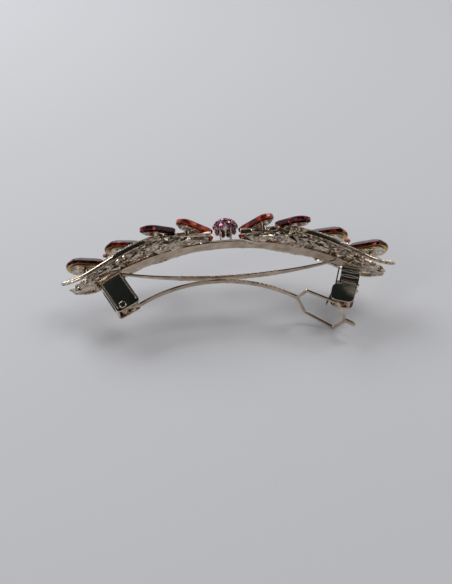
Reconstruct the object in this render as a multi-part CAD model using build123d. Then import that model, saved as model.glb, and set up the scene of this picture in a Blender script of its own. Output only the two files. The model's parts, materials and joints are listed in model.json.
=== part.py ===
from build123d import *
import os
from math import asin, atan2, cos, degrees, hypot, pi, radians, sin

# Millimetres. The clip is drawn upright: X runs from the hinge to the clasp, Z points out of the decorated
# face, Y runs across, and the origin is the middle of the bar's underside. place() then lays it on its edge.

LEAN = 65.0              # degrees that the clip is rolled over to lie on its long edge
RUNNING_GAP = 0.05       # radial clearance of a pin in its knuckle

BAR_RADIUS = 63.0        # of the bar's underside
BAR_HALF = 35.6          # from the middle to either end, straight across
BAR_WIDTH = 3.4
BAR_THICK = 0.8

BOW_RADIUS = 132.0
BOW_DROP = 10.3          # middle of the bow below the bar
BOW_HALF = 29.6
BOW_WIDTH = 2.0
BOW_THICK = 0.4

SHEET = 0.5              # folded sheet of the bracket and the clasp
BRACKET_TURN = 30.0      # degrees round the bar's curve to the hinge bracket
BRACKET_LENGTH = 6.6
BRACKET_OUTER = -3.9     # outer face of its end wall, from where its frame meets the bar
BRACKET_DEPTH = 11.8
BRACKET_LAP = 0.6        # how far the cheeks lap up beside the bar
RIVET_DOWN = 9.9
RIVET_IN = 2.1
RIVET_RADIUS = 0.5
RIVET_HEAD_RADIUS = 0.95

ARM_WIDTH = 1.5
ARM_THICK = 0.45
ARM_LEFT = (-23.8, -17.0)
ARM_TOP = (-2.2, -11.3)
ARM_RIGHT = (18.0, -17.9)
KNUCKLE_RADIUS = 1.15
KNUCKLE_WIDTH = 2.2
LOOP_FALL = 33.0         # degrees that the loop's plane slopes down, away from the hinge
LOOP_LENGTH = 13.4
LOOP_HALF_WIDTH = 6.7
LOOP_WIRE = 0.8
TAB_LENGTH = 3.2
TAB_WIDTH = 1.5

CLASP_AT = (33.2, -9.9)
CLASP_LEAN = 17.0        # degrees that the clasp leans in under the bar
CLASP_LENGTH = 5.0
CLASP_DEPTH = 5.2
WING_LENGTH = 6.2
WING_DEPTH = 5.0
WING_PIN_RADIUS = 0.3
WING_PIN_OUT = 1.55      # from the middle plane to each wing's pin

CAST_RADIUS = 70.8       # underside of the cast sprays
CAST_THICK = 1.0
CAST_HALF_WIDTH = 4.3
CAST_FROM, CAST_TO = 5.0, 41.5
CAST_LIFT = 0.84         # underside of the spray above the bar's underside, in the middle
CAST_WINDOWS = [(15.5, 1.9, 7), (24.5, 2.0, 6), (33.0, 1.6, 5)]      # |x|, |y| and length of each
CAST_WINDOW_WIDTH = 1.3

VINE_RADIUS = 0.6
VINE_BEND = 4.0          # radius at each turn of its path
VINE = [(4.0, 3.4, 1.9), (10.5, 3.3, 2.0), (16.5, 3.8, 1.6), (21.5, 4.9, -0.5), (27.0, 5.3, -3.3),
        (32.0, 5.2, -6.4), (37.5, 4.5, -9.4), (41.0, 3.3, -10.2), (44.6, 1.9, -10.5)]
FAR_VINE_POINTS = 8      # the far vines stop short of the near ones' curled tips

# The pear stones: tip, blunt end, width, height of the girdle, crown and pavilion, the foot of the post, and
# how many degrees a petal's outer edge droops
PETALS = {
    "inner": ((3.7, 1.4, 3.2), (13.4, 4.5, 5.3), 5.2, 0.9, 0.5, 0.35, (10.5, 3.3, 1.8), 16),
    "outer": ((13.6, 3.5, 3.0), (22.9, 7.2, 1.6), 5.8, 0.9, 0.5, 0.35, (16.6, 3.9, 1.3), 20),
}
BUDS = {
    "shoulder": ((22.7, 0.0, 2.0), (33.5, 0.0, 0.6), 5.9, 0.3, 1.4, 0.9, (27.8, 0.0, -4.2), 0),
    "tip": ((32.9, 0.0, -3.2), (43.9, 0.0, -4.2), 5.9, 0.3, 1.4, 0.9, (38.6, 0.0, -10.0), 0),
}
TABLE_SHARE = 0.62       # flat top of a stone over its outline
FOOT_SHARE = 0.8         # bottom of a stone, and of its cup, over its outline
CUP_WALL = 0.22
CUP_FLOOR = 0.3
POST_RADIUS = 0.8

CLUSTER_Z = 6.3          # girdle of the small stones
CLUSTER_RING = 2.75
CLUSTER_COUNT = 8
CHATON_RADIUS = 1.02
CHATON_HEIGHT = 1.1
PEDESTAL_RADIUS = 2.95
LEG_RADIUS = 0.32
LEG_RING = 1.35
ACCENTS = [(20.6, 2.3, 2.0), (32.6, 3.2, -3.2)]
ACCENT_RADIUS = 0.9


def side_outline(radius, thick, half):
    """A slice of a ring about a centre straight below the origin, reaching half to each side."""
    turn = degrees(asin(half / radius))
    below = (0, -radius)
    inner = CenterArc(below, radius, 90 - turn, 2 * turn)
    outer = CenterArc(below, radius + thick, 90 - turn, 2 * turn)
    return make_face([inner, outer, Line(inner @ 0, outer @ 0), Line(inner @ 1, outer @ 1)])


def across(sketch, width, middle=0.0):
    """A sketch of the side view, given its width across the clip."""
    return Pos(0, middle, 0) * extrude(Plane.XZ * sketch, amount=width / 2, both=True)


def pin_across(x, z, radius, width, middle=0.0):
    return Pos(x, middle, z) * Rot(X=90) * Cylinder(radius, width)


def bracket_frame():
    turn = radians(BRACKET_TURN)
    foot = (-BAR_RADIUS * sin(turn), 0, BAR_RADIUS * cos(turn) - BAR_RADIUS)
    return Pos(*foot) * Rot(Y=-BRACKET_TURN)


def clasp_frame():
    return Pos(CLASP_AT[0], 0, CLASP_AT[1]) * Rot(Y=CLASP_LEAN)


def hinge_point():
    at = bracket_frame() * Pos(BRACKET_OUTER + RIVET_IN, 0, -RIVET_DOWN)
    return at.position


def base_bar():
    return across(side_outline(BAR_RADIUS, BAR_THICK, BAR_HALF), BAR_WIDTH)


def hinge_bracket(bar):
    """Folded from one sheet: an end wall with a window, and two cheeks that take the rivet."""
    cheek_at = Pos(BRACKET_OUTER + BRACKET_LENGTH / 2, BRACKET_LAP - BRACKET_DEPTH / 2)
    cheek_face = cheek_at * RectangleRounded(BRACKET_LENGTH, BRACKET_DEPTH, 0.9)
    reach = BAR_WIDTH / 2 + SHEET / 2 + 0.01
    cheeks = [across(cheek_face, SHEET, side * reach) for side in (-1, 1)]
    wall_at = Pos(BRACKET_OUTER + SHEET / 2, 0, 0.1 - BRACKET_DEPTH / 2)
    wall = wall_at * Box(SHEET, 2 * reach, BRACKET_DEPTH - 2.0)
    window = Pos(BRACKET_OUTER, 0, -BRACKET_DEPTH / 2) * Box(4 * SHEET, BAR_WIDTH - 1.4, BRACKET_DEPTH - 5)
    body = bracket_frame() * (cheeks[0] + cheeks[1] + wall - window)
    hinge = hinge_point()
    return body - pin_across(hinge.X, hinge.Z, RIVET_RADIUS, 3 * BAR_WIDTH) - bar


def hinge_rivet():
    hinge = hinge_point()
    span = BAR_WIDTH + 2 * SHEET + 0.02
    shank = pin_across(hinge.X, hinge.Z, RIVET_RADIUS, span)
    heads = [pin_across(hinge.X, hinge.Z, RIVET_HEAD_RADIUS, 0.4, side * (span / 2 + 0.2))
             for side in (-1, 1)]
    return shank + heads[0] + heads[1]


def loop_outline(grow):
    """The six-sided loop seen square on, with its first corner where the arm divides."""
    corners = [(0, 0.9), (2.3, LOOP_HALF_WIDTH - 1), (LOOP_LENGTH - 2.6, LOOP_HALF_WIDTH), (LOOP_LENGTH, 1.4)]
    ring = corners + [(x, -y) for x, y in reversed(corners)]
    return offset(Polygon(*ring, align=None), amount=grow, kind=Kind.ARC)


def closing_arm():
    hinge = hinge_point()
    path = Wire([
        Line((hinge.X, hinge.Z), ARM_LEFT),
        ThreePointArc(ARM_LEFT, ARM_TOP, ARM_RIGHT),
    ])
    strip = across(make_face(path.offset_2d(ARM_THICK / 2, kind=Kind.ARC, side=Side.BOTH)), ARM_WIDTH)
    knuckle = pin_across(hinge.X, hinge.Z, KNUCKLE_RADIUS, KNUCKLE_WIDTH)
    ring = loop_outline(LOOP_WIRE / 2) - loop_outline(-LOOP_WIRE / 2)
    tab = Pos(LOOP_LENGTH + TAB_LENGTH / 2, 0) * RectangleRounded(TAB_LENGTH, TAB_WIDTH, 0.6)
    flat = extrude(ring + tab, amount=ARM_THICK / 2, both=True)
    loop = Pos(ARM_RIGHT[0], 0, ARM_RIGHT[1]) * Rot(Y=LOOP_FALL) * flat
    bore = pin_across(hinge.X, hinge.Z, RIVET_RADIUS + RUNNING_GAP, 2 * BAR_WIDTH)
    return strip + knuckle + loop - bore


def tension_bow(bar):
    """A thin spring strip whose ends bear on the bar's underside."""
    turn = degrees(asin(BOW_HALF / BOW_RADIUS))
    above = (0, BOW_RADIUS - BOW_DROP)
    low = CenterArc(above, BOW_RADIUS + BOW_THICK / 2, 270 - turn, 2 * turn)
    high = CenterArc(above, BOW_RADIUS - BOW_THICK / 2, 270 - turn, 2 * turn)
    face = make_face([low, high, Line(low @ 0, high @ 0), Line(low @ 1, high @ 1)])
    strip = across(face, BOW_WIDTH)
    return max((strip - bar).solids(), key=lambda s: s.volume)


def clasp_post(bar):
    """Two cheeks and a floor folded from one sheet, with ears under the floor for the wings' pins."""
    reach = BAR_WIDTH / 2 + SHEET / 2 + 0.01
    cheek = Pos(0, 0.3 - CLASP_DEPTH / 2) * Rectangle(CLASP_LENGTH, CLASP_DEPTH + 0.6)
    cheeks = [across(cheek, SHEET, side * reach) for side in (-1, 1)]
    floor = Pos(0, 0, -CLASP_DEPTH + SHEET / 2) * Box(CLASP_LENGTH, 2 * reach, SHEET)
    ears = [Pos(end * (CLASP_LENGTH - SHEET) / 2, 0, -CLASP_DEPTH - 0.5) * Box(SHEET, 2 * reach + SHEET, 1.1)
            for end in (-1, 1)]
    body = clasp_frame() * (cheeks[0] + cheeks[1] + floor + ears[0] + ears[1])
    holes = [wing_pin(side) for side in (-1, 1)]
    return body - holes[0] - holes[1] - bar


def wing_pin(side):
    at = Pos(0, side * WING_PIN_OUT, -CLASP_DEPTH - 0.55)
    return clasp_frame() * at * Rot(Y=90) * Cylinder(WING_PIN_RADIUS, CLASP_LENGTH + 0.6)


def catch_wing(side):
    """A rounded leaf that hangs from its pin and turns in at the foot to hold the loop."""
    inside = CLASP_LENGTH - 2 * SHEET - 0.3
    pin_z = -CLASP_DEPTH - 0.55
    knuckle = Pos(0, side * WING_PIN_OUT, pin_z) * Rot(Y=90) * Cylinder(0.52, inside)
    leaf_face = Pos(-0.9, pin_z - 0.75 - WING_DEPTH / 2) * RectangleRounded(WING_LENGTH, WING_DEPTH, 1.6)
    leaf = across(leaf_face, 0.45, side * (WING_PIN_OUT + 0.25))
    neck = Pos(0, side * (WING_PIN_OUT + 0.2), pin_z - 0.7) * Box(inside, 0.45, 1.2)
    bore = Pos(0, side * WING_PIN_OUT, pin_z) * Rot(Y=90) * Cylinder(WING_PIN_RADIUS + RUNNING_GAP, 9)
    return clasp_frame() * (knuckle + leaf + neck - bore)


def catch_spring():
    """A wire hairpin down the inner side of the clasp, ending in two free prongs."""
    bend = FilletPolyline((-3.3, -0.8), (-3.3, -6.5), (-4.6, -12.2), radius=3.0)
    face = make_face(Wire(bend.edges()).offset_2d(0.17, kind=Kind.ARC, side=Side.BOTH))
    prongs = [across(face, 0.35, side * 0.38) for side in (-1, 1)]
    bridge = Pos(-3.3, 0, -0.9) * Box(0.34, 1.0, 0.4)
    rung = Pos(-2.9, 0, -CLASP_DEPTH + SHEET / 2) * Box(0.8, 1.0, 0.35)
    return clasp_frame() * (prongs[0] + prongs[1] + bridge + rung)


def cast_spray(side, bar):
    """Cast openwork on the bar's face: a tapering leaf with long windows, curved to follow the bar."""
    ring = side_outline(CAST_RADIUS, CAST_THICK, CAST_TO)
    band = Pos(0, 0, CAST_LIFT) * across(ring, 2 * CAST_HALF_WIDTH)
    middle = (CAST_FROM + CAST_TO) / 2
    leaf = Pos(side * middle, 0) * Ellipse((CAST_TO - CAST_FROM) / 2, CAST_HALF_WIDTH + 0.2)
    windows = [Pos(side * x, edge * y) * SlotOverall(length, CAST_WINDOW_WIDTH)
               for x, y, length in CAST_WINDOWS for edge in (1, -1)]
    plan = extrude(leaf - windows, amount=30, both=True)
    return (band & plan) - bar


def vine(side, edge):
    """One leaf bar: a rounded rod from beside the cluster out to its curled tip."""
    count = len(VINE) if edge < 0 else FAR_VINE_POINTS
    points = [(side * x, edge * y, z) for x, y, z in VINE[:count]]
    path = FilletPolyline(*points, radius=VINE_BEND)
    return sweep(Plane(path @ 0, z_dir=path % 0) * Circle(VINE_RADIUS), path=path)


def pear(length, width):
    """A pear outline from its tip at the origin to its blunt end at +X."""
    blunt, tip = width / 2, width / 9
    return make_hull([
        *(Pos(tip, 0) * Circle(tip)).edges(),
        *(Pos(length - blunt, 0) * Circle(blunt)).edges(),
    ])


def shrunk(length, width, share):
    """The same pear, smaller about the middle of its length."""
    return Pos(length * (1 - share) / 2, 0) * pear(length * share, width * share)


def stone_frame(tip, blunt, side, edge, droop):
    """Local X from the stone's tip to its blunt end, and local Z out of its face."""
    run = (blunt[0] - tip[0], edge * (blunt[1] - tip[1]), blunt[2] - tip[2])
    length = hypot(*run)
    start = (side * tip[0], edge * tip[1], tip[2])
    turn = degrees(atan2(run[1], side * run[0]))
    rise = degrees(asin(run[2] / length))
    return Pos(*start) * Rot(Z=turn) * Rot(Y=-rise) * Rot(X=-edge * side * droop), length


def stone_height(tip, blunt, x):
    """Height of the bottom of a stone's girdle over a point along it."""
    return tip[2] + (blunt[2] - tip[2]) * (x - tip[0]) / (blunt[0] - tip[0])


def stone(length, width, girdle, crown, pavilion):
    body = extrude(pear(length, width), amount=girdle)
    table = Pos(0, 0, girdle + crown) * shrunk(length, width, TABLE_SHARE)
    top = loft([Pos(0, 0, girdle) * pear(length, width), table])
    low = loft([shrunk(length, width, FOOT_SHARE).moved(Location((0, 0, -pavilion))), pear(length, width)])
    return body + top + low


def cup(length, width, girdle, pavilion, gem):
    """A tapering cup with a thin rim that holds the stone by its girdle."""
    grown = length + 2 * CUP_WALL
    rim = Pos(-CUP_WALL, 0) * pear(grown, width + 2 * CUP_WALL)
    depth = pavilion + CUP_FLOOR
    bowl = loft([
        Pos(-CUP_WALL, 0, -depth) * shrunk(grown, width + 2 * CUP_WALL, FOOT_SHARE),
        rim,
    ])
    lip = extrude(rim, amount=girdle * 0.5)
    return bowl + lip - gem


def set_stones(solids_below):
    """Each pear stone and its cup, as {node: solid}. A post under each cup meets what is below it."""
    made = {}
    sides = (-1, 1)
    places = [(name, spec, side, edge) for name, spec in PETALS.items() for side in sides for edge in sides]
    places += [(name, spec, side, 0) for name, spec in BUDS.items() for side in sides]
    for name, (tip, blunt, width, girdle, crown, pavilion, foot, droop), side, edge in places:
        frame, length = stone_frame(tip, blunt, side, edge, droop)
        gem = stone(length, width, girdle, crown, pavilion)
        holder = frame * cup(length, width, girdle, pavilion, gem)
        under = stone_height(tip, blunt, foot[0]) - pavilion - CUP_FLOOR + 0.1
        half_way = Pos(side * foot[0], edge * foot[1], (under + foot[2]) / 2)
        tall = half_way * Cylinder(POST_RADIUS, under - foot[2])
        for below in solids_below:
            tall = tall - below
        post = max(tall.solids(), key=lambda s: s.center().Z)
        for below in solids_below:
            holder = holder - below
        holder = max((holder + post).solids(), key=lambda s: s.volume)
        where = {-1: "_near", 0: "", 1: "_far"}[edge] + {-1: "_left", 1: "_right"}[side]
        made["stone_" + name + where] = frame * gem
        made["cup_" + name + where] = holder
    return made


def chaton(radius, height):
    """A small round stone: a short girdle with a bevelled crown."""
    return Pos(0, 0, height / 2) * chamfer(Cylinder(radius, height).edges().group_by(Axis.Z)[-1], 0.3)


def cluster_places():
    turns = [2 * pi * n / CLUSTER_COUNT for n in range(CLUSTER_COUNT)]
    ring = [Pos(CLUSTER_RING * cos(turn), CLUSTER_RING * sin(turn), CLUSTER_Z) for turn in turns]
    return ring + [Pos(0, 0, CLUSTER_Z + 0.8)]


def cluster_pedestal(bar):
    """A pierced disc on four thin legs, with a raised boss for the middle stone."""
    floor_z = CLUSTER_Z - 0.5
    disc = Pos(0, 0, floor_z) * Cylinder(PEDESTAL_RADIUS, 0.5)
    boss = Pos(0, 0, floor_z + 0.5) * Cylinder(0.9, 1.1)
    legs = [Pos(sx * LEG_RING, sy * LEG_RING, floor_z / 2) * Cylinder(LEG_RADIUS, floor_z)
            for sx in (-1, 1) for sy in (-1, 1)]
    holes = [Pos(1.9 * cos(pi / 8 + pi * n / 4), 1.9 * sin(pi / 8 + pi * n / 4), floor_z) * Cylinder(0.22, 3)
             for n in range(CLUSTER_COUNT)]
    body = disc + boss
    for leg in legs:
        body = body + leg
    for hole in holes:
        body = body - hole
    return body - bar


def cluster_cups(gems, pedestal):
    """A short open collet round each small stone, standing on the pedestal."""
    collets = []
    for at in cluster_places():
        tube = Cylinder(CHATON_RADIUS + 0.1, 0.7) - Cylinder(CHATON_RADIUS - 0.12, 2)
        collets.append(at * Pos(0, 0, 0.1) * tube)
    made = collets[0]
    for collet in collets[1:]:
        made = made + collet
    return made - gems - pedestal


def accents(below):
    """The four small single stones and the posts that hold them over the sprays and vines."""
    stones, posts = [], []
    for x, y, z in ACCENTS:
        for side in (-1, 1):
            at = Pos(side * x, -y, z)
            stones.append(at * chaton(ACCENT_RADIUS, 0.9))
            post = at * (Pos(0, 0, -0.35) * Cylinder(ACCENT_RADIUS + 0.12, 0.7)
                         + Pos(0, 0, -3) * Cylinder(0.5, 5))
            for other in below:
                post = post - other
            posts.append(max(post.solids(), key=lambda s: s.center().Z))
    return Compound(children=stones), Compound(children=posts)


def build():
    """Every node in the upright frame, as {name: shape}."""
    bar = base_bar()
    nodes = {
        "base_bar": bar,
        "hinge_bracket": hinge_bracket(bar),
        "hinge_rivet": hinge_rivet(),
        "closing_arm": closing_arm(),
        "tension_bow": tension_bow(bar),
        "clasp_post": clasp_post(bar),
        "clasp_pin_near": wing_pin(-1),
        "clasp_pin_far": wing_pin(1),
        "catch_wing_near": catch_wing(-1),
        "catch_wing_far": catch_wing(1),
        "catch_spring": catch_spring(),
    }
    sprays = {"left": cast_spray(-1, bar), "right": cast_spray(1, bar)}
    vines = {}
    for edge_name, edge in (("near", -1), ("far", 1)):
        for side_name, side in (("left", -1), ("right", 1)):
            vines[f"vine_{edge_name}_{side_name}"] = vine(side, edge)
    for side_name, spray in sprays.items():
        for edge_name in ("near", "far"):
            spray = spray - vines[f"vine_{edge_name}_{side_name}"]
        nodes["cast_spray_" + side_name] = max(spray.solids(), key=lambda s: s.volume)
    nodes.update(vines)
    below = [bar, nodes["cast_spray_left"], nodes["cast_spray_right"], *vines.values()]
    nodes.update(set_stones(below))
    pedestal = cluster_pedestal(bar)
    gems = Compound(children=[at * chaton(CHATON_RADIUS, CHATON_HEIGHT) for at in cluster_places()])
    nodes["cluster_pedestal"] = pedestal
    nodes["cluster_cups"] = cluster_cups(gems, pedestal)
    nodes["cluster_stones"] = gems
    nodes["accent_stones"], nodes["accent_cups"] = accents(below)
    return nodes


def place(nodes):
    """Rolls the clip over onto its long edge, standing on Z = 0 and centred on the origin."""
    rolled = {name: Rot(X=-LEAN) * shape for name, shape in nodes.items()}
    box = Compound(children=[Compound(shape.solids()) for shape in rolled.values()]).bounding_box()
    shift = Pos(-(box.min.X + box.max.X) / 2, -(box.min.Y + box.max.Y) / 2, -box.min.Z)
    return {name: shift * shape for name, shape in rolled.items()}, shift * Rot(X=-LEAN)


upright = build()
placed, resting = place(upright)
os.makedirs("parts", exist_ok=True)
for name, shape in placed.items():
    export_step(Compound(shape.solids()), f"parts/{name}.step")
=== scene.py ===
import json
import math

import bmesh
import bpy
import numpy as np
from mathutils import Matrix, Vector


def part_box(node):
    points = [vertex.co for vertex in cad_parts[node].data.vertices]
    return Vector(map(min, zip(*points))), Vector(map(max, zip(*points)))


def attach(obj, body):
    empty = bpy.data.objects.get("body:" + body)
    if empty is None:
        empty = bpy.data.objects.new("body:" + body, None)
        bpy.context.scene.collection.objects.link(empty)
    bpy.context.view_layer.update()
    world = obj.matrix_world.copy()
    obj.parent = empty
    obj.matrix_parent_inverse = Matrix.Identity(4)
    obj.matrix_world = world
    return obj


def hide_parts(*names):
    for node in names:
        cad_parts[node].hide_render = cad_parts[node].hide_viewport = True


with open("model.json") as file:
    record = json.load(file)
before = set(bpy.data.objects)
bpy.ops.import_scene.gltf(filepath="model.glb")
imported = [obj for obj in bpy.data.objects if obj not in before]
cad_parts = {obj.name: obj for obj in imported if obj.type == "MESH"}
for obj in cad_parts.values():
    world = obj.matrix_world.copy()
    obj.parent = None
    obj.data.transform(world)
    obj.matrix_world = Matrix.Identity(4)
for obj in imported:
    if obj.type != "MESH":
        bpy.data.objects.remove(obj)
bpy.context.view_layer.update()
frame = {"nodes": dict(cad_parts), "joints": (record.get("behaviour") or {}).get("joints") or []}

# ---------------------------------------------------------------- how the clip lies
# The clip is drawn upright, with its bar's underside at the origin, and lies rolled on its long edge.
# The hinge pin runs straight across the clip, so its direction gives the roll, and the bar gives the place.
BAR_HALF_WIDTH = 0.0017
BAR_THICK = 0.0008
hinge = next(j for j in frame["joints"] if j["name"] == "arm_hinge")
lean = math.atan2(-hinge["axis"][2], hinge["axis"][1])
bar_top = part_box("base_bar")[1]
upright_origin = Vector((
    0,
    bar_top.y - BAR_HALF_WIDTH * math.cos(lean) - BAR_THICK * math.sin(lean),
    bar_top.z - BAR_HALF_WIDTH * math.sin(lean) - BAR_THICK * math.cos(lean),
))
lying = Matrix.Translation(upright_origin) @ Matrix.Rotation(-lean, 4, "X")

# ---------------------------------------------------------------- camera
# A close view from above the open side, with the decorated face turned away. The camera is turned a little
# about its own line of sight.
LENS = 53.0
SENSOR = 36.0
CAMERA_DISTANCE = 0.2356
CAMERA_DROP = math.radians(35)
CAMERA_ROLL = math.radians(-3.6)
CAMERA_AIM = Vector((-0.0009, 0.00075, 0.0063))

bpy.ops.object.camera_add()
camera = bpy.context.object
camera.data.lens = LENS
camera.data.sensor_width = SENSOR
camera.data.clip_start = 0.005
looking = Vector((0, math.cos(CAMERA_DROP), -math.sin(CAMERA_DROP)))
turned = looking.to_track_quat("-Z", "Y").to_matrix().to_4x4() @ Matrix.Rotation(CAMERA_ROLL, 4, "Z")
camera.matrix_world = Matrix.Translation(CAMERA_AIM - looking * CAMERA_DISTANCE) @ turned
bpy.context.scene.camera = camera

# ---------------------------------------------------------------- floor and light
# A plain pale floor in a pale room. Dark cards overhead and on the camera's side show only in the polish, as
# the near-black bands that bright plating has, and the lamps give it its white edges.
def plain_finish(name, colour, roughness):
    material = bpy.data.materials.new(name)
    material.use_nodes = True
    shader = material.node_tree.nodes["Principled BSDF"]
    shader.inputs["Base Color"].default_value = (*colour, 1)
    shader.inputs["Roughness"].default_value = roughness
    return material


def card(name, place, size, material):
    """A card that faces the clip, seen only in reflections."""
    bpy.ops.object.select_all(action="DESELECT")
    bpy.ops.mesh.primitive_plane_add(size=1, location=place)
    made = bpy.context.object
    made.name = name
    made.scale = (size[0], size[1], 1)
    made.rotation_euler = (-Vector(place)).to_track_quat("Z", "Y").to_euler()
    made.data.materials.append(material)
    for ray in ("camera", "diffuse", "shadow", "transmission"):
        setattr(made, "visible_" + ray, False)


bpy.ops.object.select_all(action="DESELECT")
bpy.ops.mesh.primitive_plane_add(size=3)
floor = bpy.context.object
floor.name = "floor"
floor.data.materials.append(plain_finish("pale_floor", (0.62, 0.625, 0.645), 0.7))

dark_card = plain_finish("dark_card", (0.006, 0.014, 0.011), 0.9)
card("shade_overhead", (0.0, -0.02, 0.50), (0.74, 0.56), dark_card)
card("shade_front", (0.03, -0.52, 0.30), (0.80, 0.34), dark_card)
card("shade_left", (-0.50, -0.12, 0.16), (0.24, 0.20), dark_card)
bright_card = plain_finish("bright_card", (0.9, 0.9, 0.9), 0.9)
bright_card.node_tree.nodes["Principled BSDF"].inputs["Emission Color"].default_value = (1.0, 0.99, 0.97, 1)
bright_card.node_tree.nodes["Principled BSDF"].inputs["Emission Strength"].default_value = 1.0
card("pane_behind", (0.02, 0.55, 0.30), (0.60, 0.16), bright_card)


def soft_lamp(name, place, size, power, colour):
    bpy.ops.object.light_add(type="AREA", location=place)
    lamp = bpy.context.object
    lamp.name = name
    lamp.data.shape = "RECTANGLE"
    lamp.data.size, lamp.data.size_y = size
    lamp.data.energy = power
    lamp.data.color = colour
    lamp.rotation_euler = (-Vector(place)).to_track_quat("-Z", "Y").to_euler()


soft_lamp("window", (-0.30, 0.42, 0.42), (0.40, 0.30), 1.8, (0.97, 0.98, 1.0))
soft_lamp("ceiling", (0.35, 0.10, 0.60), (0.30, 0.30), 1.15, (1.0, 0.98, 0.96))
soft_lamp("side_fill", (-0.45, -0.35, 0.35), (0.12, 0.20), 0.35, (1.0, 0.97, 0.94))

world = bpy.data.worlds.new("grey_room")
world.use_nodes = True
world.node_tree.nodes["Background"].inputs["Color"].default_value = (0.80, 0.81, 0.84, 1)
world.node_tree.nodes["Background"].inputs["Strength"].default_value = 0.42
bpy.context.scene.world = world
bpy.context.scene.view_settings.view_transform = "Standard"

# ---------------------------------------------------------------- base bar
# The bar is a strip of steel rolled to a long arch, polished and plated light rose gold. Everything else is
# soldered or riveted to it, and it shows in the view from below as a tan band.
DULL_AND_SHADE_BELOW, CLEAN_ABOVE = 0.32, 0.60     # where the clouds turn from dull plating to clean; on the casting the dull end is painted shade
WORN_SHARE, POLISHED_SHARE = 1.7, 0.6    # roughness of each, as a share of the finish's own
PITS_TO_CLOUDS = 4                       # how much finer the pits are
PIT_STRENGTH = 0.35


def plated(name, colour, dull_and_shade_colour, roughness, grain, depth):
    """Polished plating: faint waves left by polishing, duller patches, and fine pits. On the casting the dull
    colour is near-black, and its patches are painted shade.
    """
    material = bpy.data.materials.new(name)
    material.use_nodes = True
    nodes, links = material.node_tree.nodes, material.node_tree.links
    shader = nodes["Principled BSDF"]
    shader.inputs["Metallic"].default_value = 1.0
    place = nodes.new("ShaderNodeTexCoord")
    clouds = nodes.new("ShaderNodeTexNoise")
    clouds.inputs["Scale"].default_value = grain
    clouds.inputs["Detail"].default_value = 5.0
    links.new(place.outputs["Object"], clouds.inputs["Vector"])
    # The ramp runs from the dull colour to the clean one; a near-black dull colour, as on the casting, paints
    # shade.
    tint = nodes.new("ShaderNodeValToRGB")
    tint.color_ramp.elements[0].position = DULL_AND_SHADE_BELOW
    tint.color_ramp.elements[0].color = (*dull_and_shade_colour, 1)
    tint.color_ramp.elements[1].position = CLEAN_ABOVE
    tint.color_ramp.elements[1].color = (*colour, 1)
    links.new(clouds.outputs["Fac"], tint.inputs["Fac"])
    links.new(tint.outputs["Color"], shader.inputs["Base Color"])
    wear = nodes.new("ShaderNodeMapRange")
    wear.inputs["To Min"].default_value = roughness * WORN_SHARE
    wear.inputs["To Max"].default_value = roughness * POLISHED_SHARE
    links.new(clouds.outputs["Fac"], wear.inputs["Value"])
    links.new(wear.outputs["Result"], shader.inputs["Roughness"])
    pits = nodes.new("ShaderNodeTexNoise")
    pits.inputs["Scale"].default_value = grain * PITS_TO_CLOUDS
    pits.inputs["Detail"].default_value = 3.0
    links.new(place.outputs["Object"], pits.inputs["Vector"])
    bump = nodes.new("ShaderNodeBump")
    bump.inputs["Strength"].default_value = PIT_STRENGTH
    bump.inputs["Distance"].default_value = depth
    links.new(pits.outputs["Fac"], bump.inputs["Height"])
    links.new(bump.outputs["Normal"], shader.inputs["Normal"])
    return material


def dress(node, material):
    """Gives a CAD node its finish."""
    slots = frame["nodes"][node].data.materials
    slots.clear()
    slots.append(material)


TOUCHING = 1e-6          # corners nearer than this are one
NEARLY_FLAT = math.radians(1.0)
SHARP_EDGE = math.radians(35)


def drawn_copy(node, name):
    """A copy of a CAD node's mesh, with its loose triangles joined, ready to shape in edit mode."""
    bpy.ops.object.select_all(action="DESELECT")
    piece = bpy.data.objects.new(name, frame["nodes"][node].data.copy())
    bpy.context.collection.objects.link(piece)
    bpy.context.view_layer.objects.active = piece
    piece.select_set(True)
    piece.data.materials.clear()
    bpy.ops.object.mode_set(mode="EDIT")
    bpy.ops.mesh.select_all(action="SELECT")
    bpy.ops.mesh.remove_doubles(threshold=TOUCHING)
    bpy.ops.object.mode_set(mode="OBJECT")
    return piece


def apply_modifier(piece, kind, **settings):
    made = piece.modifiers.new(kind.lower(), kind)
    for key, value in settings.items():
        setattr(made, key, value)
    bpy.context.view_layer.objects.active = piece
    bpy.ops.object.modifier_apply(modifier=made.name)


def soften(piece, width):
    """Rounds the sharp edges of a stamped or cast piece, which catch the light."""
    bpy.context.view_layer.objects.active = piece
    bpy.ops.object.mode_set(mode="EDIT")
    bpy.ops.mesh.select_all(action="SELECT")
    bpy.ops.mesh.dissolve_limited(angle_limit=NEARLY_FLAT)
    bpy.ops.object.mode_set(mode="OBJECT")
    apply_modifier(piece, "BEVEL", width=width, segments=2, limit_method="ANGLE", angle_limit=SHARP_EDGE)
    bpy.ops.object.select_all(action="DESELECT")
    piece.select_set(True)
    bpy.ops.object.shade_smooth_by_angle(angle=SHARP_EDGE)


def join(pieces, name):
    bpy.ops.object.select_all(action="DESELECT")
    for piece in pieces:
        piece.select_set(True)
    bpy.context.view_layer.objects.active = pieces[0]
    bpy.ops.object.join()
    pieces[0].name = name
    return pieces[0]


def stand_in(piece, body, finish, material, *nodes):
    """Gives a finished piece its material and its body, and hides the CAD nodes it stands for. The finish
    argument is not used.
    """
    piece.data.materials.append(material)
    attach(piece, body)
    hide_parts(*nodes)


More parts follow.
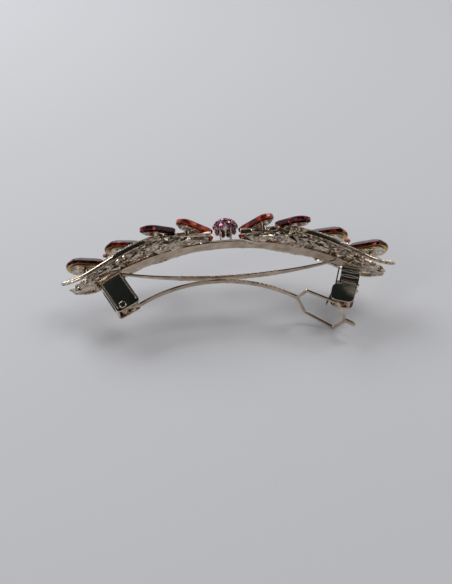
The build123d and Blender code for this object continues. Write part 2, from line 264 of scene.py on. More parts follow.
rose_strip = plated("rose_gold_strip", (0.74, 0.60, 0.47), (0.50, 0.38, 0.28), 0.13, 420, 0.00002)
BAR_RADIUS = 0.063
GROOVE_EDGE = 0.0010
GROOVE_DEPTH = 0.00022
BAR_EDGE = 0.00012
UNDERSIDE_FACING = 0.95  # how squarely a face of the underside looks at the middle of the arch
bar = drawn_copy("base_bar", "arched_bar")
bpy.ops.object.mode_set(mode="EDIT")
bpy.ops.mesh.select_all(action="SELECT")
bpy.ops.mesh.dissolve_limited(angle_limit=NEARLY_FLAT)
arc_middle = lying @ Vector((0, 0, -BAR_RADIUS))
across_bar = lying.to_3x3() @ Vector((0, 1, 0))
shape = bmesh.from_edit_mesh(bar.data)
for face in shape.faces:
    inward = arc_middle - face.calc_center_median()
    inward -= across_bar * inward.dot(across_bar)
    face.select = face.normal.dot(inward.normalized()) > UNDERSIDE_FACING
bmesh.update_edit_mesh(bar.data)
bpy.ops.mesh.inset(thickness=GROOVE_EDGE, depth=-GROOVE_DEPTH)
bpy.ops.object.mode_set(mode="OBJECT")
soften(bar, BAR_EDGE)
stand_in(bar, "frame", "plated_hardware", rose_strip, "base_bar")

# ---------------------------------------------------------------- hinge bracket and rivet
# The bracket is folded from one sheet, with a window in its end wall and a cheek on each side of the bar.
# A rivet closed at both ends goes through the cheeks and carries the closing arm.
rose_sheet = plated("rose_gold_sheet", (0.82, 0.72, 0.62), (0.70, 0.58, 0.48), 0.07, 260, 0.00001)
BRACKET_TURN = math.radians(30)
BRACKET_FOOT = Vector((-BAR_RADIUS * math.sin(BRACKET_TURN), 0, BAR_RADIUS * (math.cos(BRACKET_TURN) - 1)))
BRACKET_PLACE = Matrix.Translation(BRACKET_FOOT) @ Matrix.Rotation(-BRACKET_TURN, 4, "Y")
CHEEK_FACE = 0.00221     # outer face of a cheek from the middle plane
CHEEK_EDGES = (-0.0034, 0.0022)
RIM_RADIUS = 0.00017
RIM_FLATTENED = 1.3
RIM_DOWN, RIM_HALF_LENGTH = 0.0054, 0.0049
RIM_END = 0.25           # under 1, it makes the ball a rod with rounded ends
BRACKET_EDGE, RIVET_EDGE = 0.00020, 0.00018


def cheek_rims():
    """The rolled rims that stiffen the long edges of both cheeks."""
    rims = []
    for edge in (-1, 1):
        for along in CHEEK_EDGES:
            bpy.ops.object.select_all(action="DESELECT")
            bpy.ops.mesh.primitive_uv_sphere_add(segments=16, ring_count=24, radius=1)
            rim = bpy.context.object
            for vertex in rim.data.vertices:
                vertex.co.z = math.copysign(abs(vertex.co.z) ** RIM_END, vertex.co.z)
            rim.data.transform(lying @ BRACKET_PLACE @ Matrix.Translation((along, edge * CHEEK_FACE, -RIM_DOWN))
                               @ Matrix.Diagonal((RIM_RADIUS * RIM_FLATTENED, RIM_RADIUS, RIM_HALF_LENGTH, 1)))
            bpy.ops.object.shade_smooth()
            rims.append(rim)
    return rims


bracket = drawn_copy("hinge_bracket", "folded_bracket")
soften(bracket, BRACKET_EDGE)
bracket = join([bracket] + cheek_rims(), "folded_bracket")
stand_in(bracket, "frame", "plated_hardware", rose_sheet, "hinge_bracket")
rivet = drawn_copy("hinge_rivet", "domed_rivet")
soften(rivet, RIVET_EDGE)
stand_in(rivet, "frame", "plated_hardware", rose_sheet, "hinge_rivet")

# ---------------------------------------------------------------- closing arm
# The arm is a narrow spring strip that bows up to the tension bow and ends in a six-sided loop with a tab.
# It keeps fine teeth along both edges of its middle, which stop the hair from sliding out.
TOOTH = 0.00024
TOOTH_STRETCH = (1.5, 1.1, 1.0)
TEETH = 13
FIRST_TOOTH, TOOTH_PITCH = 0.56, 0.028   # shares of the arc from the knuckle to the loop
STRIP_EDGE = 0.00009
ARM_LEFT = Vector((-0.0238, 0, -0.0170))
ARM_TOP = Vector((-0.0022, 0, -0.0113))
ARM_RIGHT = Vector((0.0180, 0, -0.0179))
ARM_HALF_WIDTH = 0.00075


def arc_through(first, middle, last, share):
    """A point on the circle through three points of the side view, from the first to the last."""
    a, b, c = ((p.x, p.z) for p in (first, middle, last))
    d = 2 * (a[0] * (b[1] - c[1]) + b[0] * (c[1] - a[1]) + c[0] * (a[1] - b[1]))
    squares = [p[0] ** 2 + p[1] ** 2 for p in (a, b, c)]
    x = sum(q * (m[1] - n[1]) for q, m, n in zip(squares, (b, c, a), (c, a, b))) / d
    z = sum(q * (n[0] - m[0]) for q, m, n in zip(squares, (b, c, a), (c, a, b))) / d
    radius = math.hypot(a[0] - x, a[1] - z)
    start, end = math.atan2(a[1] - z, a[0] - x), math.atan2(c[1] - z, c[0] - x)
    turn = start + (end - start) * share
    return Vector((x + radius * math.cos(turn), 0, z + radius * math.sin(turn)))


def bead(radius, place, stretch):
    """A small ball in the upright frame, stretched along the clip's own directions."""
    bpy.ops.object.select_all(action="DESELECT")
    bpy.ops.mesh.primitive_ico_sphere_add(subdivisions=2, radius=radius)
    made = bpy.context.object
    made.data.transform(lying @ Matrix.Translation(place) @ Matrix.Diagonal((*stretch, 1)))
    bpy.ops.object.shade_smooth()
    return made


arm = drawn_copy("closing_arm", "sprung_arm")
soften(arm, STRIP_EDGE)
teeth = []
for n in range(TEETH):
    at = arc_through(ARM_LEFT, ARM_TOP, ARM_RIGHT, FIRST_TOOTH + TOOTH_PITCH * n)
    for edge in (-1, 1):
        at.y = edge * ARM_HALF_WIDTH
        teeth.append(bead(TOOTH, at, TOOTH_STRETCH))
arm = join([arm] + teeth, "sprung_arm")
stand_in(arm, "closing_arm", "plated_hardware", rose_strip, "closing_arm")

# ---------------------------------------------------------------- tension bow
# A thin strip of spring steel that bears on the bar at both ends and presses the hair up against it. It
# narrows towards its ends, and the edges of its middle are scalloped for grip.
BOW_RADIUS = 0.132
BOW_DROP = 0.0103
BOW_HALF_WIDTH = 0.001
BOW_FULL_TO, BOW_TAPER = 0.009, 0.018    # from the middle, where it starts to narrow, and over what length
BOW_NARROWED = 0.55
SCALLOP, SCALLOP_PITCH = 0.00026, 0.0021
SCALLOP_STRETCH = (2.6, 1, 0.8)
SCALLOP_INSET = 0.96
SCALLOPS_A_SIDE = 6
bow = drawn_copy("tension_bow", "sprung_bow")
soften(bow, STRIP_EDGE)
bow.data.transform(lying.inverted())
for vertex in bow.data.vertices:
    vertex.co.y *= 1 - BOW_NARROWED * min(1, max(0, (abs(vertex.co.x) - BOW_FULL_TO) / BOW_TAPER))
bow.data.transform(lying)
scallops = []
for n in range(-SCALLOPS_A_SIDE, SCALLOPS_A_SIDE + 1):
    along = SCALLOP_PITCH * n
    height = BOW_RADIUS - BOW_DROP - math.sqrt(BOW_RADIUS ** 2 - along ** 2)
    for edge in (-1, 1):
        at = Vector((along, edge * BOW_HALF_WIDTH * SCALLOP_INSET, height))
        scallops.append(bead(SCALLOP, at, SCALLOP_STRETCH))
bow = join([bow] + scallops, "sprung_bow")
stand_in(bow, "frame", "plated_hardware", rose_strip, "tension_bow")

# ---------------------------------------------------------------- clasp
# The clasp is a folded post with a sprung wing on each side and a wire hairpin down its inner face.
# The wings snap over the end of the loop, and are squeezed together to let it go.
CLASP_PLACE = Matrix.Translation((0.0332, 0, -0.0099)) @ Matrix.Rotation(math.radians(17), 4, "Y")
CLASP_CHEEK = 0.00222
CLASP_EDGE = 0.00013
RIBS_DOWN = (0.0009, 0.0024, 0.0039)
RIB_SIZE = (0.00235, 0.00016, 0.00042)


def clasp_ribs():
    """Three rounded ribs pressed across each cheek."""
    ribs = []
    for edge in (-1, 1):
        for down in RIBS_DOWN:
            bpy.ops.object.select_all(action="DESELECT")
            bpy.ops.mesh.primitive_uv_sphere_add(segments=24, ring_count=12, radius=1)
            rib = bpy.context.object
            rib.data.transform(lying @ CLASP_PLACE @ Matrix.Translation((0, edge * CLASP_CHEEK, -down))
                               @ Matrix.Diagonal((*RIB_SIZE, 1)))
            bpy.ops.object.shade_smooth()
            ribs.append(rib)
    return ribs


for part in ("clasp_pin_near", "clasp_pin_far", "catch_spring"):
    dress(part, rose_sheet)
for part, body in (("clasp_post", "frame"), ("catch_wing_near", "catch_wing_near"),
                   ("catch_wing_far", "catch_wing_far")):
    folded = drawn_copy(part, "folded_" + part)
    soften(folded, CLASP_EDGE)
    if part == "clasp_post":
        folded = join([folded] + clasp_ribs(), "folded_clasp_post")
    stand_in(folded, body, "plated_hardware", rose_sheet, part)

# ---------------------------------------------------------------- cast sprays
# Each spray is a white-metal casting soldered to the bar's face, curved to follow it. It has long windows, a
# lumpy skin and a crowd of small overlapping leaves along its edges, and is plated with the rest.
# Its dull colour is near-black: the random dark patches are painted shade, standing in for the shadows among
# the leaves and vines.
cast_gold = plated("rose_gold_casting", (0.88, 0.76, 0.63), (0.26, 0.19, 0.13), 0.11, 1100, 0.00006)
SPRAY_RADIUS = 0.0708
SPRAY_LIFT = 0.00084
SPRAY_HALF_WIDTH = 0.0043
SPRAY_FROM, SPRAY_TO = 0.005, 0.0415
LEAF_ROWS = ((1.0, 0.35, 0.6, 0.0030), (0.70, -0.15, 1.7, 0.0050), (0.98, 1.1, -0.1, 0.0026),
             (0.99, 1.9, -0.3, 0.0034))      # share of the reach, lift in mm, how far it faces down, length
LEAVES_ALONG = 17
LEAF_WIDTH, LEAF_POINT = 0.42, 0.45      # half width over half length, and how much it narrows to its tip
LEAF_RIB, LEAF_DROOP, LEAF_THICK = 0.30, 0.12, 0.22
CAST_VOXEL = 0.00022
LUMP_SIZE, LUMP_HEIGHT, LUMP_LEVEL = 0.0016, 0.0005, 0.55
rng = np.random.default_rng(7)

bpy.ops.object.select_all(action="DESELECT")
bpy.ops.mesh.primitive_circle_add(vertices=10, radius=1, fill_type="TRIFAN")
leaf_model = bpy.context.object
for vertex in leaf_model.data.vertices:
    pointed = 1 - LEAF_POINT * max(0, vertex.co.x)
    on_rib = vertex.co.length < 0.1
    height = LEAF_RIB if on_rib else -LEAF_DROOP * vertex.co.x ** 2
    vertex.co = (vertex.co.x, vertex.co.y * LEAF_WIDTH * pointed, height)
apply_modifier(leaf_model, "SOLIDIFY", thickness=LEAF_THICK, offset=-1)
leaf_shape = leaf_model.data.copy()
bpy.data.objects.remove(leaf_model)


def leaf(place, along, out, length):
    """One cast leaf at a place in the upright frame, pointing along, with its ribbed face out."""
    out = out.normalized()
    along = (along - out * along.dot(out)).normalized()
    turn = Matrix((along, out.cross(along), out)).transposed().to_4x4()
    made = bpy.data.objects.new("leaf", leaf_shape.copy())
    bpy.context.collection.objects.link(made)
    made.data.transform(lying @ Matrix.Translation(place) @ turn @ Matrix.Scale(length / 2, 4))
    return made


def spray_height(along):
    return math.sqrt(SPRAY_RADIUS ** 2 - along ** 2) - SPRAY_RADIUS + SPRAY_LIFT


def spray_reach(along):
    """Half the spray's width at a distance along the clip."""
    middle, half = (SPRAY_FROM + SPRAY_TO) / 2, (SPRAY_TO - SPRAY_FROM) / 2
    return SPRAY_HALF_WIDTH * math.sqrt(max(0.02, 1 - ((along - middle) / half) ** 2))


clouds = bpy.data.textures.new("cast_lumps", type="CLOUDS")
clouds.noise_scale = LUMP_SIZE
for side_name, side in (("left", -1), ("right", 1)):
    spray = drawn_copy("cast_spray_" + side_name, "leafy_spray_" + side_name)
    apply_modifier(spray, "REMESH", mode="VOXEL", voxel_size=CAST_VOXEL)
    apply_modifier(spray, "DISPLACE", texture=clouds, strength=LUMP_HEIGHT, mid_level=LUMP_LEVEL,
                   texture_coords="GLOBAL")
    bpy.ops.object.select_all(action="DESELECT")
    spray.select_set(True)
    bpy.ops.object.shade_smooth()
    leaves = []
    for n in range(LEAVES_ALONG):
        along = SPRAY_FROM + 0.002 + n * (SPRAY_TO - SPRAY_FROM - 0.003) / (LEAVES_ALONG - 1)
        for edge in (-1, 1):
            for share, lift, tilt, length in LEAF_ROWS:
                sway = rng.uniform(-1, 1, 3)
                inner_far_row = edge > 0 and share < 0.9
                past_the_crest = lift > 1.5 and not 0.008 < along < 0.030
                low_far_inboard = edge > 0 and along < 0.024 and lift < 1.5
                if inner_far_row or past_the_crest or low_far_inboard:
                    continue
                place = Vector((side * (along + 0.0008 * sway[0]), edge * spray_reach(along) * share,
                                spray_height(along) + 0.001 * lift))
                out = Vector((0.35 * sway[1] + side * along * 12, edge, -tilt))
                heading = Vector((side, edge * 0.45 * sway[2], -along * 12))
                size = length * (1 + 0.35 * sway[1]) * (1 if along < 0.036 else 0.6)
                leaves.append(leaf(place, heading, out, size))
    spray = join([spray] + leaves, "leafy_spray_" + side_name)
    stand_in(spray, "frame", "plated_casting", cast_gold, "cast_spray_" + side_name)

# ---------------------------------------------------------------- vines
# A leaf bar is soldered along each edge of the sprays. It is a plain upright strip beside the cluster, with
# two long rings on the right, a channel with a beaded upper edge in the middle, and a cross-ribbed stem out to
# its rounded tip.
VINE_POINTS = ((4.0, 3.4, 1.9), (10.5, 3.3, 2.0), (16.5, 3.8, 1.6), (21.5, 4.9, -0.5), (27.0, 5.3, -3.3),
               (32.0, 5.2, -6.4), (37.5, 4.5, -9.4), (41.0, 3.3, -10.2), (44.2, 2.1, -10.4))
FAR_VINE_POINTS = 8
MM = 0.001
VINE_EDGE = 0.13 * MM
SMALL_BALL = 0.2 * MM    # a ball thinner than this gets fewer faces
CHANNEL_FROM, CHANNEL_TO = 0.36, 0.64    # shares of the vine's length
STRIP_SIZE, CHANNEL_SIZE, STEM_SIZE = (0.34 * MM, 0.88 * MM), (0.42 * MM, 0.74 * MM), (0.50 * MM, 0.74 * MM)
STRIP_TILT_LEFT, STRIP_TILT_RIGHT = 25, 3
STEM_TAPER = 0.80
BEAD_PITCH, RIB_PITCH, KNOT_PITCH = 0.5 * MM, 0.44 * MM, 0.75 * MM
RING_MIDDLES = (5.0 * MM, 9.4 * MM)
RING_SIZE = (1.75 * MM, 0.62 * MM, 0.9 * MM)


def vine_path(points):
    bpy.ops.object.select_all(action="DESELECT")
    bpy.ops.curve.primitive_bezier_curve_add()
    path = bpy.context.object
    spline = path.data.splines[0]
    spline.bezier_points.add(len(points) - 2)
    for knot, point in zip(spline.bezier_points, points):
        knot.co = Vector(point) * MM
        knot.handle_left_type = knot.handle_right_type = "AUTO"
    path.data.twist_mode = "Z_UP"
    path.data.resolution_u = 24
    bpy.context.view_layer.update()
    return path


def stem(start, end, cuts, wide, deep, taper=1.0, sides=14, tilt=0.0):
    """A straight stem along X, oval or four-sided, cut across so that it can bend."""
    bpy.ops.object.select_all(action="DESELECT")
    bpy.ops.mesh.primitive_cylinder_add(vertices=sides, radius=1 if sides > 4 else math.sqrt(2), depth=1,
                                        rotation=(0, math.pi / 2, 0))
    made = bpy.context.object
    bpy.ops.object.transform_apply(location=True, rotation=True, scale=True)
    if sides == 4:
        made.data.transform(Matrix.Rotation(math.pi / 4, 4, "X"))
    made.data.transform(Matrix.Translation(((start + end) / 2, 0, 0))
                        @ Matrix.Diagonal((end - start, wide, deep, 1)))
    bpy.ops.object.mode_set(mode="EDIT")
    shape = bmesh.from_edit_mesh(made.data)
    bpy.ops.mesh.select_mode(type="EDGE")
    bpy.ops.mesh.select_all(action="DESELECT")
    for edge in shape.edges:
        edge.select = abs(edge.verts[0].co.x - edge.verts[1].co.x) > (end - start) / 2
    bmesh.update_edit_mesh(made.data)
    bpy.ops.mesh.subdivide(number_cuts=cuts)
    bpy.ops.mesh.select_mode(type="VERT")
    bpy.ops.object.mode_set(mode="OBJECT")
    for vertex in made.data.vertices:
        share = 1 - (1 - taper) * (vertex.co.x - start) / (end - start)
        vertex.co.y *= share
        vertex.co.z *= share
    made.data.transform(Matrix.Rotation(math.radians(tilt), 4, "X"))
    if sides == 4:
        apply_modifier(made, "BEVEL", width=VINE_EDGE, segments=2, limit_method="ANGLE",
                       angle_limit=math.radians(60))
    return made


def studs(start, count, pitch, place, size, taper=1.0):
    """A row of small balls along X."""
    row = []
    for n in range(count):
        bpy.ops.object.select_all(action="DESELECT")
        bpy.ops.mesh.primitive_ico_sphere_add(subdivisions=1 if size[0] < SMALL_BALL else 2, radius=1)
        share = 1 - (1 - taper) * n / max(1, count - 1)
        bpy.context.object.data.transform(
            Matrix.Translation((start + n * pitch, place[0] * share, place[1] * share))
            @ Matrix.Diagonal((size[0], size[1] * share, size[2] * share, 1)))
        row.append(bpy.context.object)
    return row


def vine(name, side, edge):
    points = VINE_POINTS if edge < 0 else VINE_POINTS[:FAR_VINE_POINTS]
    path = vine_path(points)
    length = path.data.splines[0].calc_length()
    inner, outer = CHANNEL_FROM * length, CHANNEL_TO * length
    strip_tilt = STRIP_TILT_LEFT if side < 0 else STRIP_TILT_RIGHT
    parts = [stem(0, inner, 24, *STRIP_SIZE, sides=4, tilt=strip_tilt),
             stem(inner - 0.4 * MM, outer + 0.4 * MM, 24, *CHANNEL_SIZE, sides=4),
             stem(outer, length, 40, *STEM_SIZE, STEM_TAPER)]
    # beads on the channel's edge, ribs round the stem, the rounded tip, and two rows of knots at the joint
    beads = int((outer - inner) / BEAD_PITCH)
    parts += studs(inner, beads, BEAD_PITCH, (0.34 * MM, 0.74 * MM), (0.24 * MM, 0.24 * MM, 0.24 * MM))
    ribs = int((length - outer - 0.6 * MM) / RIB_PITCH)
    parts += studs(outer, ribs, RIB_PITCH, (0, 0), (0.14 * MM, 0.64 * MM, 1.02 * MM), STEM_TAPER)
    parts += studs(length - 0.3 * MM, 1, 1, (0, 0), (0.75 * MM, 0.48 * MM, 0.60 * MM))
    parts += studs(inner - 1.6 * MM, 4, KNOT_PITCH, (0.34 * MM, 0.25 * MM), (0.45 * MM, 0.34 * MM, 0.42 * MM))
    parts += studs(inner - 1.2 * MM, 3, KNOT_PITCH, (0.38 * MM, -0.40 * MM), (0.42 * MM, 0.30 * MM, 0.36 * MM))
    if side > 0:
        for middle in RING_MIDDLES:
            bpy.ops.object.select_all(action="DESELECT")
            bpy.ops.mesh.primitive_torus_add(major_radius=1, minor_radius=0.20, major_segments=40,
                                             minor_segments=8)
            ring = bpy.context.object
            ring.data.transform(Matrix.Translation((middle, 0.44 * MM, 0))
                                @ Matrix.Rotation(math.pi / 2, 4, "X") @ Matrix.Diagonal((*RING_SIZE, 1)))
            parts.append(ring)
    made = join(parts, name)
    apply_modifier(made, "CURVE", object=path, deform_axis="POS_X")
    bpy.data.objects.remove(path)
    made.data.transform(lying @ Matrix.Diagonal((side, edge, 1, 1)))
    bpy.ops.object.select_all(action="DESELECT")
    made.select_set(True)
    bpy.ops.object.mode_set(mode="EDIT")
    bpy.ops.mesh.select_all(action="SELECT")
    bpy.ops.mesh.normals_make_consistent(inside=False)
    bpy.ops.object.mode_set(mode="OBJECT")
    bpy.ops.object.shade_smooth_by_angle(angle=math.radians(50))
    return made


for edge_name, edge in (("near", -1), ("far", 1)):
    for side_name, side in (("left", -1), ("right", 1)):
        place = edge_name + "_" + side_name
        stand_in(vine("leaf_bar_" + place, side, edge), "frame", "plated_casting", cast_gold, "vine_" + place)

# ---------------------------------------------------------------- pear stones and their settings
# Each large stone is a pear of dark glass with a foiled back, cut with a flat table, a ring of crown facets
# and a tall girdle. It is bedded on a low pear-shaped plate at the head of its own cast post.
def glass(name, dark, middle, bright, flash, cells, shares=(0.42, 0.74, 0.93)):
    """Foiled glass with painted reflections: random cells, each about a facet wide, are painted from the
    stone's own near-black colour up to bright flashes of its red.
    """
    material = bpy.data.materials.new(name)
    material.use_nodes = True
    nodes, links = material.node_tree.nodes, material.node_tree.links
    shader = nodes["Principled BSDF"]
    shader.inputs["Roughness"].default_value = 0.04
    shader.inputs["IOR"].default_value = 1.50
    shader.inputs["Coat Weight"].default_value = 0.25
    shader.inputs["Coat Roughness"].default_value = 0.03
    place = nodes.new("ShaderNodeTexCoord")
    # The darkest cells give the glass's own colour; the brighter ones are painted reflections and flashes.
    cut = nodes.new("ShaderNodeTexVoronoi")
    cut.inputs["Scale"].default_value = cells
    links.new(place.outputs["Object"], cut.inputs["Vector"])
    split = nodes.new("ShaderNodeSeparateColor")
    links.new(cut.outputs["Color"], split.inputs["Color"])
    ramp = nodes.new("ShaderNodeValToRGB")
    ramp.color_ramp.interpolation = "CONSTANT"
    stops = ramp.color_ramp.elements
    stops[0].position, stops[0].color = 0.0, (*dark, 1)
    stops[1].position, stops[1].color = shares[0], (*middle, 1)
    for position, colour in zip(shares[1:], (bright, flash)):
        stop = stops.new(position)
        stop.color = (*colour, 1)
    links.new(split.outputs["Red"], ramp.inputs["Fac"])
    links.new(ramp.outputs["Color"], shader.inputs["Base Color"])
    return material


DARK_SHARES = (0.50, 0.84, 0.95)
wine_crown = glass("wine_glass_crown", (0.012, 0.002, 0.004), (0.035, 0.003, 0.008), (0.16, 0.008, 0.016),
                   (0.55, 0.05, 0.06), 1100, DARK_SHARES)
# The side materials are painted lighter than the crown's, as painted glow of light through the girdle; the
# inner stones' sides glow orange-red.
wine_side = glass("wine_glass_side", (0.010, 0.002, 0.004), (0.05, 0.004, 0.008), (0.22, 0.012, 0.014),
                  (0.70, 0.09, 0.08), 1200, DARK_SHARES)
ember_glow_side = glass("ember_glow_painted_side", (0.11, 0.010, 0.006), (0.42, 0.040, 0.012), (0.62, 0.075, 0.020),
                   (0.75, 0.16, 0.07), 900)

SIDES = ("left", "right")
OUTLINE_BLUNT = 11       # points round the blunt end
OUTLINE_SIDE = 3         # points along each straight side
OUTLINE_TIP = 3          # points round the tip
TIP_SHARE = 1 / 9        # radius of the tip over the width


def pear_points(length, width):
    """A pear outline from its tip at the origin to its blunt end at +X, as a list of points."""
    blunt, tip = width / 2, width * TIP_SHARE
    gap = length - blunt - tip
    tangent = math.acos(-(blunt - tip) / gap)
    points = []
    for n in range(OUTLINE_BLUNT):
        angle = -tangent + 2 * tangent * n / (OUTLINE_BLUNT - 1)
        points.append((length - blunt + blunt * math.cos(angle), blunt * math.sin(angle)))
    leave, land = Vector(points[-1]), Vector((tip + tip * math.cos(tangent), tip * math.sin(tangent)))
    side = [leave.lerp(land, (n + 1) / (OUTLINE_SIDE + 1)) for n in range(OUTLINE_SIDE)]
    points += [tuple(p) for p in side]
    for n in range(OUTLINE_TIP):
        angle = tangent + (2 * math.pi - 2 * tangent) * n / (OUTLINE_TIP - 1)
        points.append((tip + tip * math.cos(angle), tip * math.sin(angle)))
    points += [(x, -y) for x, y in reversed(side)]
    return points


def seat(node):
    """Where a CAD stone sits: a matrix with X from tip to blunt end and Z out of its face, and its sizes."""
    mesh = frame["nodes"][node].data
    mesh.calc_loop_triangles()
    corners = np.array([[mesh.vertices[v].co for v in t.vertices] for t in mesh.loop_triangles])
    normals = np.cross(corners[:, 1] - corners[:, 0], corners[:, 2] - corners[:, 0])
    areas = np.linalg.norm(normals, axis=1) / 2
    normals = normals / (2 * areas[:, None] + 1e-20)
    facing = max(normals, key=lambda n: areas[normals @ n > 0.999].sum())
    out = lying.to_3x3() @ Vector((0, 0, 1))
    face = Vector(facing) if Vector(facing).dot(out) > 0 else -Vector(facing)
    middle = corners.mean(axis=1)
    centre = (middle * areas[:, None]).sum(0) / areas.sum()
    flat = middle - centre
    flat = flat - np.outer(flat @ np.array(face), np.array(face))
    spread = (flat * areas[:, None]).T @ flat
    along = Vector(np.linalg.eigh(spread)[1][:, -1])
    points = corners.reshape(-1, 3) - centre
    reach = points @ np.array(along)
    if reach.max() > -reach.min():
        along, reach = -along, -reach
    across = face.cross(along)
    width = 2 * np.abs(points @ np.array(across)).max()
    rise = points @ np.array(face)
    tip = Vector(centre) + along * reach.min() + face * rise.min()
    turn = Matrix((along, across, face)).transposed().to_4x4()
    return Matrix.Translation(tip) @ turn, reach.max() - reach.min(), width, rise.max() - rise.min()


def into_place(piece, matrix):
    """Moves a piece's mesh to its place and leaves its object at the origin."""
    piece.data.transform(matrix)
    piece.matrix_world = Matrix.Identity(4)
    return piece


def select_flat(mesh, low, high):
    """Selects the faces whose centre's height lies between low and high, in edit mode."""
    shape = bmesh.from_edit_mesh(mesh)
    for face in shape.faces:
        face.select = low <= face.calc_center_median().z <= high
    bmesh.update_edit_mesh(mesh)


def raise_ring(height, share, middle):
    """Extrudes the selected face up by height and scales it about middle."""
    bpy.ops.mesh.extrude_region_move(TRANSFORM_OT_translate={"value": (0, 0, height)})
    bpy.ops.transform.resize(value=(share, share, 1), center_override=middle)


CULET_SHARE = 0.30
CULET_DROP = 0.0003      # the stone's foot reaches through the floor of the cup
BELLY_SHARE = 0.95       # outline where the steep side turns under
BELLY_LEVEL = 0.10       # and its height, as a share of the stone's
WIDEST_SHARE = 0.56      # the point that the facets gather to, from the tip, as a share of the length
CROWN_BREAK = 0.62       # height of the first crown facets, as a share of the crown


def cut_stone(name, node, pavilion, girdle, crown_step, table):
    """A faceted pear in place of a CAD stone: pavilion and girdle are shares of its height."""
    matrix, length, width, height = seat(node)
    bpy.ops.object.select_all(action="DESELECT")
    outline = pear_points(length, width)
    bpy.ops.mesh.primitive_circle_add(vertices=len(outline), radius=width / 2, fill_type="NGON")
    stone = bpy.context.object
    stone.name = name
    for vertex, (x, y) in zip(stone.data.vertices, outline):
        vertex.co = (x, y, -CULET_DROP)
    middle = (length * WIDEST_SHARE, 0, 0)
    bpy.ops.object.mode_set(mode="EDIT")
    bpy.ops.mesh.select_all(action="SELECT")
    bpy.ops.mesh.normals_make_consistent(inside=False)
    bpy.ops.transform.resize(value=(CULET_SHARE, CULET_SHARE, 1), center_override=middle)
    raise_ring(height * BELLY_LEVEL + CULET_DROP, BELLY_SHARE / CULET_SHARE, middle)
    raise_ring(height * (pavilion - BELLY_LEVEL), 1 / BELLY_SHARE, middle)
    raise_ring(height * girdle, 1, middle)
    crown_foot = height * (pavilion + girdle)
    crown = height * (1 - pavilion - girdle)
    raise_ring(crown * CROWN_BREAK, crown_step, middle)
    raise_ring(crown * (1 - CROWN_BREAK), table / crown_step, middle)
    select_flat(stone.data, crown_foot + crown * 0.05, crown_foot + crown * 0.6)
    bpy.ops.mesh.poke(offset=0.0)
    bpy.ops.mesh.select_all(action="SELECT")
    bpy.ops.mesh.normals_make_consistent(inside=False)
    bpy.ops.object.mode_set(mode="OBJECT")
    for face in stone.data.polygons:
        low, high = height * BELLY_LEVEL * 1.01, crown_foot * 1.001
        face.material_index = 0 if face.center.z > high else 1 if face.center.z > low else 2
    return into_place(stone, matrix)


# pavilion, girdle, the width at the crown's break, and the table's
PETAL_CUT = (0.20, 0.51, 0.86, 0.62)
BUD_CUT = (0.346, 0.115, 0.84, 0.62)
PLATE_DOWN, PLATE_STEP = 0.0006, 0.0003
PLATE_FOOT, PLATE_SPREADS = 0.16, (1.25, 1.30)
SETTING_EDGE = 0.00006
foil = plated("gold_foil", (0.82, 0.62, 0.22), (0.52, 0.36, 0.12), 0.34, 500, 0.00001)


def setting(node, name, seat_node):
    """The post of a CAD cup, with a low pear-shaped plate on it that the stone is bedded in."""
    matrix, length, width, _ = seat(seat_node)
    post = drawn_copy(node, name)
    bpy.ops.object.mode_set(mode="EDIT")
    bpy.ops.mesh.select_all(action="SELECT")
    bpy.ops.mesh.bisect(plane_co=matrix @ Vector((0, 0, -CULET_DROP * 1.02)),
                        plane_no=matrix.to_3x3() @ Vector((0, 0, 1)), use_fill=True, clear_outer=True)
    bpy.ops.object.mode_set(mode="OBJECT")
    bpy.ops.object.select_all(action="DESELECT")
    outline = pear_points(length, width)
    bpy.ops.mesh.primitive_circle_add(vertices=len(outline), radius=width / 2, fill_type="NGON")
    plate = bpy.context.object
    for vertex, (x, y) in zip(plate.data.vertices, outline):
        vertex.co = (x, y, -PLATE_DOWN)
    middle = (length * WIDEST_SHARE, 0, 0)
    bpy.ops.object.mode_set(mode="EDIT")
    bpy.ops.mesh.select_all(action="SELECT")
    bpy.ops.transform.resize(value=(PLATE_FOOT, PLATE_FOOT, 1), center_override=middle)
    for spread in PLATE_SPREADS:
        raise_ring(PLATE_STEP, spread, middle)
    bpy.ops.mesh.select_all(action="SELECT")
    bpy.ops.mesh.normals_make_consistent(inside=False)
    bpy.ops.object.mode_set(mode="OBJECT")
    into_place(plate, matrix)
    made = join([post, plate], name)
    soften(made, SETTING_EDGE)
    return made


for side in SIDES:
    places = [(row, f"{row}_{edge}_{side}", PETAL_CUT)
              for edge in ("near", "far") for row in ("inner", "outer")]
    places += [(row, f"{row}_{side}", BUD_CUT) for row in ("shoulder", "tip")]
    for row, name, cut in places:
        stone = cut_stone("pear_" + name, "stone_" + name, *cut)
        # The sides carry the painted glow, orange-red on the inner stones.
        glow = ember_glow_side if row == "inner" else wine_side
        stone.data.materials.append(wine_crown)
        stone.data.materials.append(glow)
        stone.data.materials.append(glow if cut is PETAL_CUT else foil)
        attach(stone, "frame")
        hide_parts("stone_" + name)
        holder = setting("cup_" + name, "setting_" + name, "stone_" + name)
        stand_in(holder, "frame", "plated_casting", cast_gold, "cup_" + name)

# ---------------------------------------------------------------- centre cluster
# The flower in the middle is a ball of small round stones in claw collets, on a pierced plate that stands on
# four thin legs. One stone faces up, and two staggered rings lean outwards below it.
pink = glass("pink_glass", (0.030, 0.003, 0.014), (0.22, 0.012, 0.09), (0.62, 0.06, 0.27), (0.95, 0.5, 0.7),
             1700)
CHATON_SIDES = 10
CHATON_LEVELS = ((0.50, -0.55), (1.0, 0.0), (1.0, 0.16), (0.86, 0.36), (0.56, 0.52))


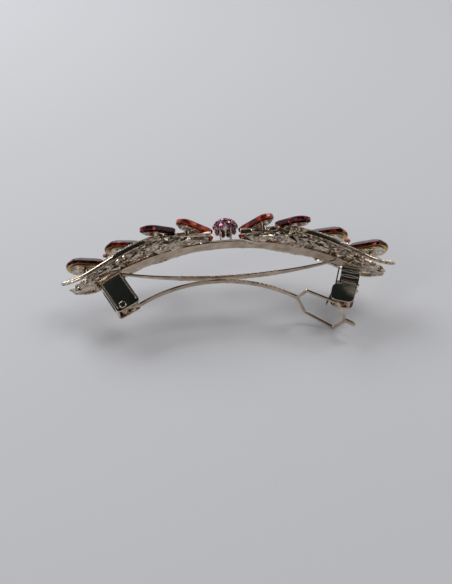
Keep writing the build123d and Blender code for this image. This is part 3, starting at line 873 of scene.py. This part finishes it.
def chaton(radius):
    """A small round stone, cut with flat facets, centred on its girdle with its face along Z."""
    bpy.ops.object.select_all(action="DESELECT")
    foot_share, foot_level = CHATON_LEVELS[0]
    bpy.ops.mesh.primitive_circle_add(vertices=CHATON_SIDES, radius=radius * foot_share, fill_type="NGON",
                                      location=(0, 0, radius * foot_level))
    made = bpy.context.object
    bpy.ops.object.transform_apply(location=True, rotation=True, scale=True)
    bpy.ops.object.mode_set(mode="EDIT")
    bpy.ops.mesh.select_all(action="SELECT")
    for (last, low), (share, level) in zip(CHATON_LEVELS, CHATON_LEVELS[1:]):
        raise_ring(radius * (level - low), share / last, (0, 0, 0))
    bpy.ops.mesh.select_all(action="SELECT")
    bpy.ops.mesh.normals_make_consistent(inside=False)
    bpy.ops.object.mode_set(mode="OBJECT")
    return made


def collet(radius):
    """A low ring under a chaton, with four rounded claws over its edge."""
    bpy.ops.object.select_all(action="DESELECT")
    bpy.ops.mesh.primitive_torus_add(major_radius=radius * 0.92, minor_radius=radius * 0.10,
                                     major_segments=20, minor_segments=6, location=(0, 0, -radius * 0.2))
    bpy.ops.object.transform_apply(location=True, rotation=True, scale=True)
    parts = [bpy.context.object]
    for n in range(4):
        turn = math.pi / 4 + n * math.pi / 2
        bpy.ops.object.select_all(action="DESELECT")
        bpy.ops.mesh.primitive_ico_sphere_add(subdivisions=2, radius=1)
        claw = bpy.context.object
        claw.data.transform(Matrix.Rotation(turn, 4, "Z")
                            @ Matrix.Translation((radius * 0.98, 0, radius * 0.12))
                            @ Matrix.Diagonal((radius * 0.12, radius * 0.12, radius * 0.30, 1)))
        parts.append(claw)
    return join(parts, "collet")


def facing(place, out):
    turn = Vector(out).to_track_quat("Z", "Y").to_matrix().to_4x4()
    return lying @ Matrix.Translation(place) @ turn


# stones in the tier, its radius and height in mm, how far they lean out, their own radius, and the first's turn
BALL_TIERS = ((1, 0, 7.25, 0, 1.05, 0), (8, 2.70, 6.45, 52, 1.08, 0), (8, 2.60, 5.05, 84, 0.90, 22.5))
gems, collets = [], []
for count, ring, height, tilt, radius, start in BALL_TIERS:
    for n in range(count):
        turn = math.radians(start + 360 * n / count)
        lean_out = math.radians(tilt)
        out = (math.sin(lean_out) * math.cos(turn), math.sin(lean_out) * math.sin(turn), math.cos(lean_out))
        matrix = facing(Vector((ring * math.cos(turn), ring * math.sin(turn), height)) * MM, out)
        gems.append(into_place(chaton(radius * MM), matrix))
        collets.append(into_place(collet(radius * MM), matrix))
gems = join(gems, "flower_gems")
stand_in(gems, "frame", "pink_glass", pink, "cluster_stones")
collets = join(collets, "flower_collets")
bpy.ops.object.shade_smooth()
stand_in(collets, "frame", "plated_casting", cast_gold, "cluster_cups")
dress("cluster_pedestal", cast_gold)

# ---------------------------------------------------------------- accent stones
# Four single orange-red stones fill the gaps between the pears. Each sits in a small claw collet on its own
# cast post, and looks out over the near edge.
ember = glass("ember_glass", (0.16, 0.010, 0.006), (0.48, 0.04, 0.012), (0.72, 0.10, 0.02), (0.85, 0.3, 0.12),
              1600)
ACCENT_PLACES = ((20.6, -2.3, 2.0), (32.6, -3.2, -3.2))
ACCENT_RADIUS = 0.86
ACCENT_FACES = (0, -0.75, 0.66)
ACCENT_LIFT, ACCENT_POST_DOWN = 0.25, 1.2
gems, collets = [], []
for x, y, z in ACCENT_PLACES:
    for side in (-1, 1):
        matrix = facing(Vector((side * x, y, z + ACCENT_LIFT)) * MM, ACCENT_FACES)
        gems.append(into_place(chaton(ACCENT_RADIUS * MM), matrix))
        collets.append(into_place(collet(ACCENT_RADIUS * MM), matrix))
        bpy.ops.object.select_all(action="DESELECT")
        bpy.ops.mesh.primitive_cone_add(vertices=16, radius1=0.0003, radius2=0.00055, depth=0.0022)
        post_place = Matrix.Translation(Vector((side * x, y, z - ACCENT_POST_DOWN)) * MM)
        collets.append(into_place(bpy.context.object, lying @ post_place))
gems = join(gems, "accent_gems")
stand_in(gems, "frame", "orange_red_glass", ember, "accent_stones")
collets = join(collets, "accent_collets")
bpy.ops.object.shade_smooth()
stand_in(collets, "frame", "plated_casting", cast_gold, "accent_cups")
